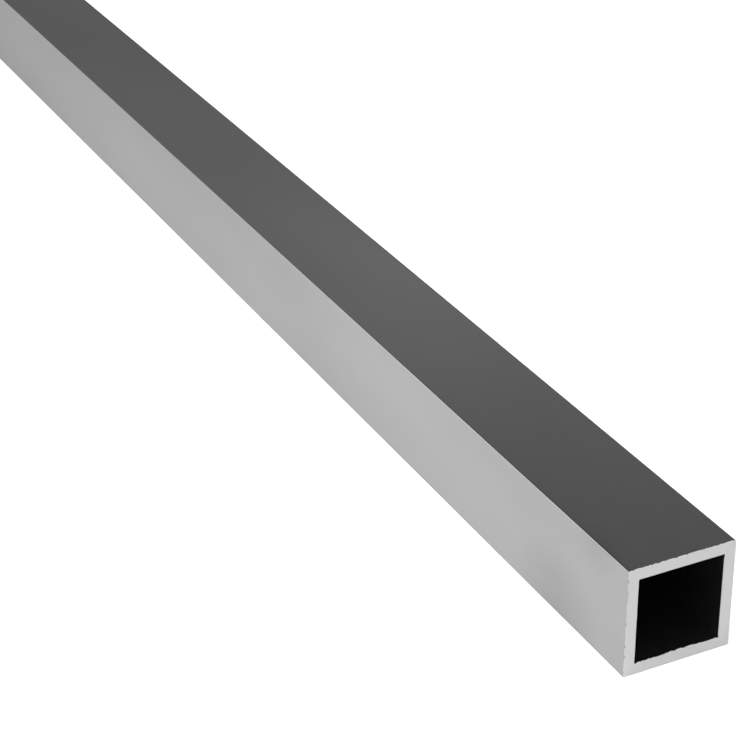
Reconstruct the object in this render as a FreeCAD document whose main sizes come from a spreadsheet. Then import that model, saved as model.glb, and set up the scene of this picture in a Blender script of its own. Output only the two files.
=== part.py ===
# Square aluminium tube: one extruded length, sawn square at both ends, lying on one of its sides.
# X runs along the tube, Z is up, and the origin is on the underside at mid length.
import FreeCAD
import Part
import Sketcher
import math
import os

doc = FreeCAD.newDocument("SquareTube")

# Driving dimensions in millimetres: alias, value and what it is.
driving_dimensions = [
    ("tube_width", "20", "outside, flat to flat, both ways"),
    ("wall", "2", "thickness of all four sides"),
    ("stock_length", "1000", "length as sold"),
    ("outer_round", "0.2", "radius that the die leaves on the four outside corners"),
    ("bore_round", "0.2", "radius that the die leaves in the four corners of the bore"),
]
sizes = doc.addObject("Spreadsheet::Sheet", "Sizes")
for row, (alias, value, meaning) in enumerate(driving_dimensions, start=1):
    sizes.set(f"A{row}", alias)
    sizes.set(f"B{row}", value)
    sizes.setAlias(f"B{row}", alias)
    sizes.set(f"C{row}", meaning)
doc.recompute()

# A sketch numbers the two ends of a line or arc, and its own two axes.
ends = {"start": 1, "end": 2}
axes = {"floor": -1, "upright": -2}
side_names = ("bottom", "right", "top", "left")


def draw_rounded_square(sketch, half_side, radius, centre_height):
    """Draws four sides joined by tangent rounds, anticlockwise. Returns the sides by name and one round."""
    flat = half_side - radius
    centre = FreeCAD.Vector(0, centre_height, 0)
    lines = []
    arcs = []
    for quarter in range(len(side_names)):
        # The bottom side and the round that follows it, turned a quarter further each time.
        turn = FreeCAD.Rotation(FreeCAD.Vector(0, 0, 1), 90 * quarter)
        begin = centre + turn.multVec(FreeCAD.Vector(-flat, -half_side, 0))
        finish = centre + turn.multVec(FreeCAD.Vector(flat, -half_side, 0))
        round_centre = centre + turn.multVec(FreeCAD.Vector(flat, -flat, 0))
        circle = Part.Circle(round_centre, FreeCAD.Vector(0, 0, 1), radius)
        from_angle = math.radians(90 * (quarter - 1))
        quarter_circle = Part.ArcOfCircle(circle, from_angle, from_angle + math.pi / 2)
        lines.append(sketch.addGeometry(Part.LineSegment(begin, finish), False))
        arcs.append(sketch.addGeometry(quarter_circle, False))

    for line, arc, next_line in zip(lines, arcs, lines[1:] + lines[:1]):
        sketch.addConstraint(Sketcher.Constraint("Tangent", line, ends["end"], arc, ends["start"]))
        sketch.addConstraint(Sketcher.Constraint("Tangent", arc, ends["end"], next_line, ends["start"]))
    for arc in arcs[1:]:
        sketch.addConstraint(Sketcher.Constraint("Equal", arcs[0], arc))
    return dict(zip(side_names, lines)), arcs[0]


def drive(sketch, name, alias, kind, *places):
    """Adds a dimension to the sketch under its own name and binds it to a cell of the sheet."""
    value = float(getattr(sizes, alias))
    index = sketch.addConstraint(Sketcher.Constraint(kind, *places, value))
    sketch.renameConstraint(index, name)
    sketch.setExpression(f"Constraints.{name}", f"Sizes.{alias}")


def draw_die_profile(body):
    """The opening of the extrusion die: a rounded square with a rounded square core inside it."""
    sketch = body.newObject("Sketcher::SketchObject", "DieProfile")
    across = [plane for plane in body.Origin.OriginFeatures if plane.Role == "YZ_Plane"][0]
    sketch.AttachmentSupport = [(across, "")]
    sketch.MapMode = "FlatFace"

    half_width = sizes.tube_width / 2
    outside, outside_round = draw_rounded_square(sketch, half_width, sizes.outer_round, half_width)
    bore, bore_round = draw_rounded_square(sketch, half_width - sizes.wall, sizes.bore_round, half_width)
    bottom, right, top, left = (outside[side] for side in side_names)
    start, end = ends["start"], ends["end"]

    # The outside stands on the floor axis, centred on the upright one.
    sketch.addConstraint(Sketcher.Constraint("PointOnObject", bottom, start, axes["floor"]))
    sketch.addConstraint(Sketcher.Constraint("Symmetric", bottom, start, bottom, end, axes["upright"]))
    for level in (top, bore["bottom"], bore["top"]):
        sketch.addConstraint(Sketcher.Constraint("Horizontal", level))
    for upright in (left, right, bore["left"], bore["right"]):
        sketch.addConstraint(Sketcher.Constraint("Vertical", upright))

    drive(sketch, "width", "tube_width", "DistanceX", left, start, right, start)
    drive(sketch, "height", "tube_width", "DistanceY", bottom, start, top, start)
    drive(sketch, "outside_radius", "outer_round", "Radius", outside_round)
    drive(sketch, "bore_radius", "bore_round", "Radius", bore_round)

    # The same wall on all four sides, from each outside line to the bore's line beside it.
    drive(sketch, "wall_bottom", "wall", "DistanceY", bottom, start, bore["bottom"], start)
    drive(sketch, "wall_right", "wall", "DistanceX", bore["right"], start, right, start)
    drive(sketch, "wall_top", "wall", "DistanceY", bore["top"], start, top, start)
    drive(sketch, "wall_left", "wall", "DistanceX", left, start, bore["left"], start)
    return sketch


def extrude_tube():
    """Runs the die profile out to the stock length, half of it each way from mid length."""
    body = doc.addObject("PartDesign::Body", "SquareTubeBody")
    body.Label = "square_tube"
    profile = draw_die_profile(body)
    doc.recompute()
    extrusion = body.newObject("PartDesign::Pad", "ExtrudedLength")
    extrusion.Profile = profile
    extrusion.SideType = "Symmetric"
    extrusion.setExpression("Length", "Sizes.stock_length")
    doc.recompute()
    return body, profile


def section_area(side, radius):
    """Area of a square of this side with its four corners rounded."""
    return side**2 - (4 - math.pi) * radius**2


def check_document(body, profile):
    """Stops with a message where an object failed, the sketch is loose or the solid is unsound."""
    for item in doc.Objects:
        if "Invalid" in item.State or "Error" in item.State:
            raise RuntimeError(f"{item.Name} failed: {item.State}")
    if not profile.FullyConstrained:
        raise RuntimeError("the die profile is not fully constrained")
    if body.Shape.isNull() or not body.Shape.isValid() or len(body.Shape.Solids) != 1:
        raise RuntimeError(f"{body.Label} is not one sound solid")


tube, die_profile = extrude_tube()
check_document(tube, die_profile)

bore_width = sizes.tube_width - 2 * sizes.wall
metal = section_area(sizes.tube_width, sizes.outer_round) - section_area(bore_width, sizes.bore_round)
if not math.isclose(tube.Shape.Volume, metal * sizes.stock_length, rel_tol=1e-6):
    raise RuntimeError("the volume of the tube is not its section times its length")

os.makedirs("parts", exist_ok=True)
tube.Shape.exportStep(f"parts/{tube.Label}.step")
box = tube.Shape.BoundBox
print(f"{tube.Label}: {box.XLength:.2f} x {box.YLength:.2f} x {box.ZLength:.2f} mm, bore {bore_width:.2f} mm")
print(f"section {metal:.2f} mm2, volume {tube.Shape.Volume:.1f} mm3")
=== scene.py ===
# Square aluminium tube as it comes from stock: drawn sides, sawn ends, a pale floor and soft studio light.
# Metres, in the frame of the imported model: X along the tube, Z up, the floor at zero.
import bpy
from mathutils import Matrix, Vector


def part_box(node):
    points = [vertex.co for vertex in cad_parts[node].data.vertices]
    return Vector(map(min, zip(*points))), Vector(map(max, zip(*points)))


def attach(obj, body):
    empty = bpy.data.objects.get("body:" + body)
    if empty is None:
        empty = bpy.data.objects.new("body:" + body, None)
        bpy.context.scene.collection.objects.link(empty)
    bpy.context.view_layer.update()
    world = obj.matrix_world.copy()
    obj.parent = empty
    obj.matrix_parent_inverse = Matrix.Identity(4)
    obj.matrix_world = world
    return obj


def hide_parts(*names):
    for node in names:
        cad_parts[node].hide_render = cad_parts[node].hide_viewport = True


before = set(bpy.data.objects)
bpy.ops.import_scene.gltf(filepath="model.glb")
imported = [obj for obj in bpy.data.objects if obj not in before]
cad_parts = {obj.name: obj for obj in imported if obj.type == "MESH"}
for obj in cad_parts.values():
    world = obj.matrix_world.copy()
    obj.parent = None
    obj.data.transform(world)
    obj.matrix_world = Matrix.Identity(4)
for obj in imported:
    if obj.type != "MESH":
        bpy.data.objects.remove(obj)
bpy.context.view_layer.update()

import math
import bmesh
import bpy
from mathutils import Matrix, Vector, noise

mm = 0.001
tubeLow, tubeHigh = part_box("square_tube")
halfLength = tubeHigh.x
halfWidth = tubeHigh.y
axisHeight = (tubeLow.z + tubeHigh.z) / 2

# the drawn section, and how finely it is meshed
section = {
    "wall": 2.0 * mm,
    "outerRound": 0.2 * mm,
    "boreRound": 0.2 * mm,
    "roundSteps": 6,                # faces across each corner round
    "sideSteps": 160,               # faces across each side
    "wallSteps": 8,                 # rings of faces between the outside and the bore on a sawn end
    "stationSpacing": 50.0 * mm,    # between the rings of vertices along the tube, away from its ends
    "dieLineDepth": 0.002 * mm,     # how deep the die's lines go
    "dieLineWidth": 0.7 * mm,
    "dieLineSeed": 1,
}
boreHalf = halfWidth - section["wall"]
nearEdge = 0.12 * mm                # a vertex this near an outline belongs to it
seedSteps = (7.31, 3.17, 5.71)      # how far along X, Y and Z the noise moves from one seed to the next


def unevenness(place, scale, seed):
    # smooth noise from -1 to 1, the same on every run
    return noise.noise(place / scale + Vector([seed * step for step in seedSteps]))


def roundedSquare(bm, half, cornerRound):
    # a rounded square as a closed loop of edges, in the plane of the section
    corners = bmesh.ops.create_grid(bm, x_segments=1, y_segments=1, size=half)["verts"]
    bmesh.ops.bevel(
        bm, geom=corners, offset=cornerRound, segments=section["roundSteps"],
        profile=0.5, affect="VERTICES", material=-1,
    )
    (face,) = bm.faces
    sides = [edge for edge in face.edges if edge.calc_length() > half]
    bmesh.ops.subdivide_edges(bm, edges=sides, cuts=section["sideSteps"] - 1)
    loop = list(face.edges)
    bmesh.ops.delete(bm, geom=[face], context="FACES_ONLY")
    return loop


def drawSection(bm):
    # the flat ring of metal between the outside and the bore, with the die's lines in its two outlines
    outside = roundedSquare(bm, halfWidth, section["outerRound"])
    bore = roundedSquare(bm, boreHalf, section["boreRound"])
    for edges, inwards in ((outside, -1), (bore, 1)):
        for vert in {vert for edge in edges for vert in edge.verts}:
            line = abs(unevenness(vert.co, section["dieLineWidth"], section["dieLineSeed"]))
            vert.co += inwards * (section["dieLineDepth"] * line) * vert.co.normalized()
    bmesh.ops.bridge_loops(bm, edges=outside + bore)
    outlines = set(outside) | set(bore)
    across = [edge for edge in bm.edges if edge not in outlines]
    bmesh.ops.subdivide_edges(bm, edges=across, cuts=section["wallSteps"] - 1, use_grid_fill=True)


# the saw cut: the teeth came out upwards, so the burr stands on the upper edge of each level wall
sawCut = {
    "rings": [0.05 * mm, 0.11 * mm, 0.25 * mm, 0.6 * mm, 2.0 * mm, 6.0 * mm],   # back from the end
    "ripple": 0.02 * mm,            # how uneven the cut is
    "rippleLength": 2.0 * mm,
    # an even lip with nicks in it, on the upper edge
    "topBurr": {"lip": 0.19 * mm, "swell": 0.05 * mm, "torn": -0.15 * mm, "seed": 10},
    # a lip with tongues on it, on the lower edge of the bore
    "boreBurr": {"lip": 0.17 * mm, "swell": 0.14 * mm, "torn": 0.20 * mm, "seed": 30},
    # a low one where the blade left the bore
    "farBurr": {"lip": 0.15 * mm, "swell": 0.02 * mm, "torn": 0.0, "seed": 40},
    "burrRoot": 0.11 * mm,          # how far back from the end the burr starts
    "burrLean": 0.3,                # how far it leans out of the cut, of its height
    "burrFade": 0.8 * mm,           # over which it dies out towards a corner
    "tear": 0.40 * mm,              # usual width of a nick or a tongue
    "tearEdge": 4.0,                # how steep its sides are
    "tearSeed": 4,                  # added to the burr's own
    "sweep": 3.5 * mm,              # over which the burr gets taller and shorter
    "chipSize": 0.28 * mm,          # chips along the upright edge that the blade met first
    "chipDepth": 0.8 * mm,
    "chipRarity": 0.3,              # how much of the unevenness leaves no chip
    "chipSeed": 20,
}


def pullThrough(bm):
    # draws the section out to the tube's length, with a ring of vertices at each station
    back = sawCut["rings"]
    stations = [-halfLength + step for step in back]
    count = round(2 * halfLength / section["stationSpacing"])
    stations += [-halfLength + section["stationSpacing"] * step for step in range(1, count)]
    stations += [halfLength - step for step in reversed(back)] + [halfLength]
    toFrame = Matrix(((0, 0, 1, -halfLength), (1, 0, 0, 0), (0, 1, 0, axisHeight), (0, 0, 0, 1)))
    bmesh.ops.transform(bm, matrix=toFrame, verts=bm.verts)
    front = bm.faces[:] + bm.edges[:] + bm.verts[:]
    place = -halfLength
    for step, station in enumerate(stations):
        # the section itself stays behind as the far end
        grown = bmesh.ops.extrude_face_region(bm, geom=front, use_keep_orig=step == 0)["geom"]
        moved = [part for part in grown if isinstance(part, bmesh.types.BMVert)]
        bmesh.ops.translate(bm, vec=Vector((station - place, 0, 0)), verts=moved)
        front = grown    # with its edges, or the old front would stay inside as a wall
        place = station
    bmesh.ops.recalc_face_normals(bm, faces=bm.faces)


def burrHeight(place, fromCorner, burr, end):
    # how far the metal is dragged out of an edge at this place
    seed = burr["seed"] + end
    swell = unevenness(place, sawCut["sweep"], seed)
    tear = sawCut["tearEdge"] * unevenness(place, sawCut["tear"], seed + sawCut["tearSeed"])
    torn = min(1.0, max(0.0, tear))
    fade = min(1.0, max(0.0, fromCorner) / sawCut["burrFade"])
    return (burr["lip"] + burr["swell"] * swell + burr["torn"] * torn) * fade


def chipDepth(place, end):
    # how far the metal is broken away from an edge at this place
    weakness = unevenness(place, sawCut["chipSize"], sawCut["chipSeed"] + end) - sawCut["chipRarity"]
    return max(0.0, weakness) * sawCut["chipDepth"]


def sawEnds(bm):
    # leaves both ends as the saw did: a slightly uneven face, burrs and a few chips
    for vert in bm.verts:
        back = halfLength - abs(vert.co.x)
        if back > sawCut["burrRoot"]:
            continue
        rooted = 1 - back / sawCut["burrRoot"]      # 1 on the cut, 0 where the burr starts
        outwards = math.copysign(1, vert.co.x)
        end = 1 if outwards > 0 else 2              # so that the ends differ
        across = vert.co.y
        up = vert.co.z - axisHeight
        place = Vector((0, across, up))
        inBore = max(abs(across), abs(up)) < boreHalf + nearEdge
        lean = outwards * sawCut["burrLean"]
        vert.co.x -= outwards * abs(unevenness(place, sawCut["rippleLength"], end)) * sawCut["ripple"]
        if up > halfWidth - nearEdge:
            burr = burrHeight(place, halfWidth - abs(across), sawCut["topBurr"], end) * rooted
            vert.co += Vector((lean * burr, 0, burr))
        elif across < -halfWidth + nearEdge:
            chip = chipDepth(place, end) * rooted
            vert.co += Vector((-outwards * chip, chip, 0))
        elif inBore and up < -boreHalf + nearEdge:
            burr = burrHeight(place, boreHalf - abs(across), sawCut["boreBurr"], end) * rooted
            vert.co += Vector((lean * burr, 0, burr))
        elif inBore and across > boreHalf - nearEdge:
            burr = burrHeight(place, boreHalf - abs(up), sawCut["farBurr"], end) * rooted
            vert.co += Vector((lean * burr, -burr, 0))


# the tube's finishes, in the order of its materials
finishes = {"drawn": 0, "sawn": 1, "bore": 2}
sawnFacing = 0.7                    # a face that looks along X by more than this was left by the saw
creaseAngle = math.radians(35)      # an edge sharper than this isn't shaded smooth


def chooseFinish(face):
    centre = face.calc_center_median()
    reach = max(abs(centre.y), abs(centre.z - axisHeight))
    if abs(face.normal.x) > sawnFacing:
        return finishes["sawn"]
    return finishes["bore"] if reach < boreHalf + nearEdge else finishes["drawn"]


# the map that the finish is baked through: a strip for each drawn side, outside and in the bore,
# and a taller one for the two ends
bakeMap = {
    "stripHeight": 0.1,
    "used": 0.92,               # of each strip's height, the rest is margin
    "lengthUsed": 0.98,         # and of the map's width
    "firstBoreRow": 4,          # the four rows before it are the outside's
    "endsHeight": 0.2,
    "nearEndPlace": 0.12,       # the middle of each end, across the map
    "farEndPlace": 0.36,
}


def layOutMap(bm):
    layer = bm.loops.layers.uv.new("OFBake")
    axis = Vector((0, 0, axisHeight))
    endScale = bakeMap["endsHeight"] * bakeMap["used"] / (2 * halfWidth)
    for face in bm.faces:
        centre = face.calc_center_median() - axis
        inBore = face.material_index == finishes["bore"]
        level = abs(centre.z) > abs(centre.y)
        beyond = centre.z > 0 if level else centre.y > 0
        row = 2 * level + beyond + bakeMap["firstBoreRow"] * inBore
        scale = bakeMap["stripHeight"] * bakeMap["used"] / (2 * (boreHalf if inBore else halfWidth))
        endPlace = bakeMap["nearEndPlace"] if centre.x > 0 else bakeMap["farEndPlace"]
        for corner in face.loops:
            place = corner.vert.co - axis
            if face.material_index == finishes["sawn"]:
                along = endPlace + place.y * endScale
                up = 1 - bakeMap["endsHeight"] / 2 + place.z * endScale
            else:
                along = 0.5 + place.x / (2 * halfLength) * bakeMap["lengthUsed"]
                up = (row + 0.5) * bakeMap["stripHeight"] + (place.y if level else place.z) * scale
            corner[layer].uv = (along, up)


def placeInScene(name, data):
    made = bpy.data.objects.new(name, data)
    bpy.context.scene.collection.objects.link(made)
    return made


def buildTube():
    bm = bmesh.new()
    drawSection(bm)
    pullThrough(bm)
    sawEnds(bm)
    for face in bm.faces:
        face.smooth = True
        face.material_index = chooseFinish(face)
    for edge in bm.edges:
        if edge.calc_face_angle() > creaseAngle:
            edge.smooth = False
    layOutMap(bm)
    mesh = bpy.data.meshes.new("tube_length")
    bm.to_mesh(mesh)
    bm.free()
    return placeInScene("tube_length", mesh)


class Wire:
    # a socket of a shader that can be written in a formula

    def __init__(self, tree, socket=None):
        self.tree = tree
        self.socket = socket

    def node(self, kind, settings=None, values=None, output=0):
        # adds a node: its settings first, then the values or wires of its sockets
        made = self.tree.nodes.new("ShaderNode" + kind)
        for name, setting in (settings or {}).items():
            if name == "stops":
                ramp = made.color_ramp
                while len(ramp.elements) < len(setting):
                    ramp.elements.new(0.5)
                for element, (position, grey) in zip(ramp.elements, setting):
                    element.position = position
                    element.color = (grey, grey, grey, 1)
            else:
                setattr(made, name, setting)
        for name, value in (values or {}).items():
            if isinstance(value, Wire):
                self.tree.links.new(value.socket, made.inputs[name])
            else:
                made.inputs[name].default_value = value
        return Wire(self.tree, made.outputs[output])

    def math(self, operation, first, second=0.0):
        return self.node("Math", {"operation": operation}, {0: first, 1: second})

    def __add__(self, other):
        return self.math("ADD", self, other)

    def __radd__(self, other):
        return self.math("ADD", other, self)

    def __sub__(self, other):
        return self.math("SUBTRACT", self, other)

    def __rsub__(self, other):
        return self.math("SUBTRACT", other, self)

    def __mul__(self, other):
        return self.math("MULTIPLY", self, other)

    def __rmul__(self, other):
        return self.math("MULTIPLY", other, self)

    def __truediv__(self, other):
        return self.math("DIVIDE", self, other)

    def __abs__(self):
        return self.math("ABSOLUTE", self)

    def smallest(self, other):
        return self.math("MINIMUM", self, other)

    def rise(self, start, full):
        # 0 at the first value and 1 at the second, and level beyond both
        return self.node("MapRange", {"clamp": True}, {"Value": self, "From Min": start, "From Max": full})

    def grey(self):
        return self.node("CombineColor", None, {"Red": self, "Green": self, "Blue": self})


def startMaterial(name):
    material = bpy.data.materials.new(name)
    material.use_nodes = True
    tree = material.node_tree
    shader = tree.nodes["Principled BSDF"]
    wire = Wire(tree)
    place = wire.node("TexCoord", None, None, "Object")
    return material, shader, wire, place


def finishMetal(wire, shader, grey, roughness, relief):
    # joins up a bare metal: its colour, its roughness and the height of its fine relief in metres
    shader.inputs["Metallic"].default_value = 1.0
    bump = wire.node("Bump", None, {"Height": relief, "Distance": 1.0, "Strength": 1.0})
    for name, value in (("Base Color", grey.grey()), ("Roughness", roughness), ("Normal", bump)):
        wire.tree.links.new(value.socket, shader.inputs[name])


def grains(wire, place, size, detail=2.0, tilt=(0.0, 0.0, 0.0)):
    # noise from 0 to 1, with 0.5 as its middle, whose grains are this many metres along X, Y and Z,
    # turned by a tilt in degrees
    turn = [math.radians(angle) for angle in tilt]
    fitted = {"Vector": place, "Scale": size, "Rotation": turn}
    inGrains = wire.node("Mapping", {"vector_type": "TEXTURE"}, fitted)
    values = {"Vector": inGrains, "Scale": 1.0, "Detail": detail, "Roughness": 0.55}
    return wire.node("TexNoise", None, values)


def softSpot(wire, place, middle, reach):
    # 1 in the middle of a spot, fading to 0 at its reach along X, Y and Z
    fitted = {"Vector": place, "Location": middle, "Scale": reach}
    inSpot = wire.node("Mapping", {"vector_type": "TEXTURE"}, fitted)
    return wire.node("VectorMath", {"operation": "LENGTH"}, {0: inSpot}, "Value").rise(1.0, 0.0)


# the outside, as the die leaves it and hands and racks rub it, with a few patches of painted shade and
# painted light
drawnFinish = {
    "grey": 0.50,
    "roughness": 0.26,
    "fineLine": (900.0 * mm, 0.25 * mm, 0.25 * mm),
    "wideLine": (1800.0 * mm, 2.2 * mm, 2.2 * mm),
    "lineTone": 0.05,
    "lineRoughness": 0.03,
    "lineDepth": 0.0007 * mm,
    "cloud": (84.0 * mm, 28.0 * mm, 28.0 * mm),
    "cloudTone": 0.25,
    "cloudRoughness": 0.03,
    "scuff": (10.0 * mm, 0.14 * mm, 0.14 * mm),
    "scuffTilt": (0.0, 2.5, -3.0),
    "scuffFrom": (0.72, 0.80),      # of the noise: where a scuff starts, where it is full
    "scuffTone": 0.04,
    "cornerFrom": (1.4, 0.6),       # in corner rounds from the sides: where wear starts, where it is full
    "wornPatch": (22.0 * mm, 60.0 * mm, 60.0 * mm),
    "wornFrom": (0.35, 0.6),        # of the noise: the least worn, the most worn
    "wornLeast": 0.5,               # how worn a corner is at the least
    "wornTone": 0.12,               # how much lighter the corners are, where they are rubbed bright
    "wornRoughness": 0.06,          # and how much smoother
    "marks": [
        {   # painted shade: a darker patch low on the front, near the end, standing in for a dimmer reflection of the floor
            "place": (halfLength - 21.0 * mm, -halfWidth, 0.0),
            "reach": (14.0 * mm, 14.0 * mm, 14.0 * mm),
            "tone": -0.19,
        },
        {   # a smaller patch of painted shade under the upper edge, nearer the end
            "place": (halfLength - 9.5 * mm, -halfWidth, 2 * halfWidth - 1.5 * mm),
            "reach": (7.0 * mm, 6.0 * mm, 5.0 * mm),
            "tone": -0.10,
        },
        {   # painted shade along the upper front corner beside the end, which dims its highlight there
            "place": (halfLength - 5.0 * mm, -halfWidth, 2 * halfWidth),
            "reach": (10.0 * mm, 0.8 * mm, 0.8 * mm),
            "tone": -0.16,
        },
        {   # painted light: a stretch of the front painted a little brighter, standing in for a brighter reflection
            "place": (halfLength - 78.0 * mm, -halfWidth, 1.4 * halfWidth),
            "reach": (44.0 * mm, 20.0 * mm, 20.0 * mm),
            "tone": 0.09,
        },
        {   # and a stretch of the top painted brighter, painted light as well
            "place": (halfLength - 118.0 * mm, 0.7 * halfWidth, 2 * halfWidth),
            "reach": (62.0 * mm, 20.0 * mm, 8.0 * mm),
            "tone": 0.18,
        },
    ],
}


def wornCorners(wire, place):
    # how worn the metal is, from 0 on the flat sides up to 1 on the corners, in patches along the tube
    look = drawnFinish
    across = abs(wire.node("SeparateXYZ", None, {"Vector": place}, "Y"))
    up = abs(wire.node("SeparateXYZ", None, {"Vector": place}, "Z") - axisHeight)
    start, full = (halfWidth - rounds * section["outerRound"] for rounds in look["cornerFrom"])
    corner = across.smallest(up).rise(start, full)
    patch = grains(wire, place, look["wornPatch"]).rise(*look["wornFrom"])
    return corner * (look["wornLeast"] + patch * (1 - look["wornLeast"]))


def drawnAluminium():
    look = drawnFinish
    material, shader, wire, place = startMaterial("drawn_aluminium")
    fine = grains(wire, place, look["fineLine"], 3.0)
    wide = grains(wire, place, look["wideLine"])
    cloud = grains(wire, place, look["cloud"], 3.0)
    scuff = grains(wire, place, look["scuff"], 1.0, look["scuffTilt"]).rise(*look["scuffFrom"])
    worn = wornCorners(wire, place)
    lines = (fine - 0.5 + wide - 0.5) * look["lineTone"]
    tone = lines + (cloud - 0.5) * look["cloudTone"] + scuff * look["scuffTone"] + worn * look["wornTone"]
    # the marks: patches of painted shade and painted light laid over the tone
    for mark in look["marks"]:
        tone += softSpot(wire, place, mark["place"], mark["reach"]) * mark["tone"]
    roughness = look["roughness"] + (wide - 0.5) * look["lineRoughness"]
    roughness += (cloud - 0.5) * look["cloudRoughness"]
    roughness -= worn * look["wornRoughness"]
    finishMetal(wire, shader, look["grey"] * (1 + tone), roughness, fine * look["lineDepth"])
    return material


# the bore: its grey is darker than the outside's as painted shade for the hollow, and it is rougher
# because nothing has rubbed it
boreFinish = {
    "grey": 0.32,
    "roughness": 0.33,
    "fineLine": (900.0 * mm, 0.3 * mm, 0.3 * mm),
    "wideLine": (1800.0 * mm, 2.0 * mm, 2.0 * mm),
    "lineTone": 0.10,
    "lineRoughness": 0.06,
    "lineDepth": 0.003 * mm,
}


def boreAluminium():
    look = boreFinish
    material, shader, wire, place = startMaterial("bore_aluminium")
    fine = grains(wire, place, look["fineLine"], 3.0)
    wide = grains(wire, place, look["wideLine"])
    tone = (fine - 0.5 + wide - 0.5) * look["lineTone"]
    roughness = look["roughness"] + (wide - 0.5) * look["lineRoughness"]
    finishMetal(wire, shader, look["grey"] * (1 + tone), roughness, fine * look["lineDepth"])
    return material


# the two sawn faces
sawnFinish = {
    "grey": 0.77,
    "roughness": 0.42,
    "bladeCentre": (0.0, 118.0 * mm, -64.0 * mm),   # from the tube's axis
    "toothMark": 0.35 * mm,
    "grain": (0.3 * mm, 0.3 * mm, 0.3 * mm),
    "markTone": 0.06,
    "markDepth": 0.003 * mm,
    "grainDepth": 0.5,                              # of the marks' depth
    "grainRoughness": 0.1,
}


def sawnAluminium():
    look = sawnFinish
    material, shader, wire, place = startMaterial("sawn_aluminium")
    centre = Vector(look["bladeCentre"]) + Vector((0, 0, axisHeight))
    offset = wire.node("VectorMath", {"operation": "SUBTRACT"}, {0: place, 1: centre})
    radius = wire.node("VectorMath", {"operation": "LENGTH"}, {0: offset}, "Value")
    along = wire.node("CombineXYZ", None, {"X": radius / look["toothMark"]})
    marks = wire.node("TexNoise", None, {"Vector": along, "Scale": 1.0, "Detail": 2.0})
    grain = grains(wire, place, look["grain"], 3.0)
    tone = (marks - 0.5 + grain - 0.5) * look["markTone"]
    roughness = look["roughness"] + (grain - 0.5) * look["grainRoughness"]
    relief = (marks + grain * look["grainDepth"]) * look["markDepth"]
    finishMetal(wire, shader, look["grey"] * (1 + tone), roughness, relief)
    return material


tube = buildTube()
print("tube:", len(tube.data.vertices), "vertices,", len(tube.data.polygons), "faces")
for material in (drawnAluminium(), sawnAluminium(), boreAluminium()):
    tube.data.materials.append(material)
    print("finish:", material.name)
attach(tube, "root")
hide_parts("square_tube")

# the studio: a very large pale floor, soft light from above, and a dim room for the metal to reflect
studio = {
    "floorHalf": 60.0,
    "floorGrey": 0.90,
    "floorWhite": 0.65,                     # added for the camera alone, so that the floor stays white
    "fillStrength": 0.94,
    "fillSpread": 90.0,                     # degrees across
    "fillFrom": (0.50, -0.30, 1.0),
    "keyPower": 0.87,                       # a pool of light on the floor by each end
    "keySize": 0.20,
    "keyPlace": (0.515, -0.10, 0.36),       # for the near end, and turned half round for the far one
    "keyAim": (0.35, -0.01, 0.0),
    "boxTowards": (-0.60, -0.75, 0.28),     # a soft box low at the far left that catches the corner rounds
    "boxAngles": (27.0, 12.0),              # degrees from its middle: where it starts, where it is full
    "boxStrength": 1.35,
    "backdrop": 1.2,                        # what the camera sees beyond the floor
    # how bright the room is, by how steeply one looks up: a bright foot and a faint band above it
    "room": [
        (0.0, 0.80), (0.10, 0.40), (0.20, 0.12), (0.32, 0.06),
        (0.425, 0.39), (0.54, 0.09), (0.75, 0.08),
    ],
}


def buildFloor():
    bm = bmesh.new()
    bmesh.ops.create_grid(bm, x_segments=1, y_segments=1, size=studio["floorHalf"])
    mesh = bpy.data.meshes.new("studio_floor")
    bm.to_mesh(mesh)
    bm.free()
    material, shader, wire, _ = startMaterial("studio_floor")
    shader.inputs["Base Color"].default_value = (studio["floorGrey"],) * 3 + (1,)
    shader.inputs["Roughness"].default_value = 1.0
    shader.inputs["Specular IOR Level"].default_value = 0.0
    shader.inputs["Emission Color"].default_value = (1, 1, 1, 1)
    white = wire.node("LightPath", None, None, "Is Camera Ray") * studio["floorWhite"]
    wire.tree.links.new(white.socket, shader.inputs["Emission Strength"])
    mesh.materials.append(material)
    placeInScene("studio_floor", mesh)


def placeLight(name, kind, energy, place, aim):
    # a light at a place, shining at a point, that the camera never sees
    data = bpy.data.lights.new(name, kind)
    data.energy = energy
    light = placeInScene(name, data)
    light.location = place
    light.rotation_mode = "QUATERNION"
    light.rotation_quaternion = (Vector(place) - Vector(aim)).to_track_quat("Z", "Y")
    light.visible_camera = False
    return light


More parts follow.
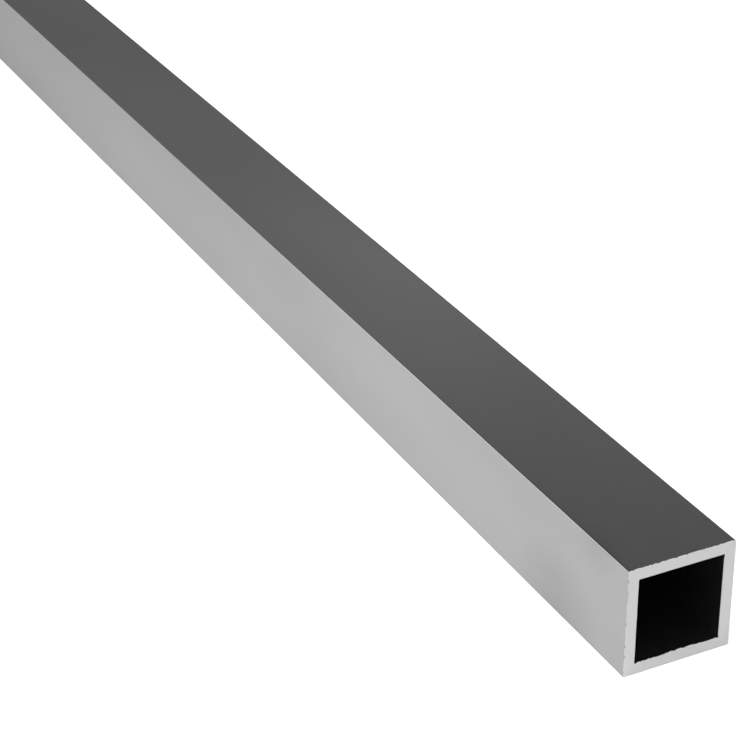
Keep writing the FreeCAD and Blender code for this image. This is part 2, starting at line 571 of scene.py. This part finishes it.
def buildLights():
    fill = placeLight("fillLight", "SUN", studio["fillStrength"], studio["fillFrom"], (0, 0, 0))
    fill.data.angle = math.radians(studio["fillSpread"])
    for end in (1, -1):
        turn = Matrix.Diagonal((end, end, 1))
        place, aim = (turn @ Vector(studio[name]) for name in ("keyPlace", "keyAim"))
        key = placeLight("keyLight", "AREA", studio["keyPower"], place, aim)
        key.data.size = studio["keySize"]
        key.visible_glossy = False      # the metal shows its pool on the floor, and not the light itself


def buildRoom():
    # pale behind the object, and in the metal's reflections the dim room and the soft box
    world = bpy.data.worlds.new("studioRoom")
    bpy.context.scene.world = world
    world.use_nodes = True
    wire = Wire(world.node_tree)
    direction = wire.node("TexCoord", None, None, "Generated")
    height = wire.node("SeparateXYZ", None, {"Vector": direction}, "Z")
    room = wire.node("ValToRGB", {"stops": studio["room"]}, {"Fac": height})
    towards = Vector(studio["boxTowards"]).normalized()
    nearness = wire.node("VectorMath", {"operation": "DOT_PRODUCT"}, {0: direction, 1: towards}, "Value")
    edge, full = (math.cos(math.radians(angle)) for angle in studio["boxAngles"])
    box = nearness.rise(edge, full) * studio["boxStrength"]
    seen = wire.node("LightPath", None, None, "Is Camera Ray")
    strength = seen * studio["backdrop"] + (1 - seen) * (room + box)
    background = wire.tree.nodes["Background"]
    background.inputs["Color"].default_value = (1, 1, 1, 1)
    wire.tree.links.new(strength.socket, background.inputs["Strength"])


# the camera of the photograph
cameraSetup = {
    "place": (0.72623, -0.16324, 0.19913),
    "looksAt": (0.40427, -0.00789, 0.0100),
    "roll": -0.732,             # degrees
    "lens": 102.605,            # millimetres
    "sensor": 36.0,             # millimetres wide
    "clip": (0.01, 500.0),      # the nearest and the farthest that it shows
}


def buildCamera():
    lens = bpy.data.cameras.new("camera")
    lens.lens = cameraSetup["lens"]
    lens.sensor_width = cameraSetup["sensor"]
    lens.clip_start, lens.clip_end = cameraSetup["clip"]
    camera = placeInScene("camera", lens)
    place = Vector(cameraSetup["place"])
    looking = Vector(cameraSetup["looksAt"]) - place
    roll = Matrix.Rotation(math.radians(cameraSetup["roll"]), 3, "Z")
    turn = looking.to_track_quat("-Z", "Y").to_matrix() @ roll
    camera.matrix_world = Matrix.Translation(place) @ turn.to_4x4()
    bpy.context.scene.camera = camera


buildFloor()
buildLights()
buildRoom()
buildCamera()
bpy.context.scene.view_settings.view_transform = "Standard"
print("studio ready")
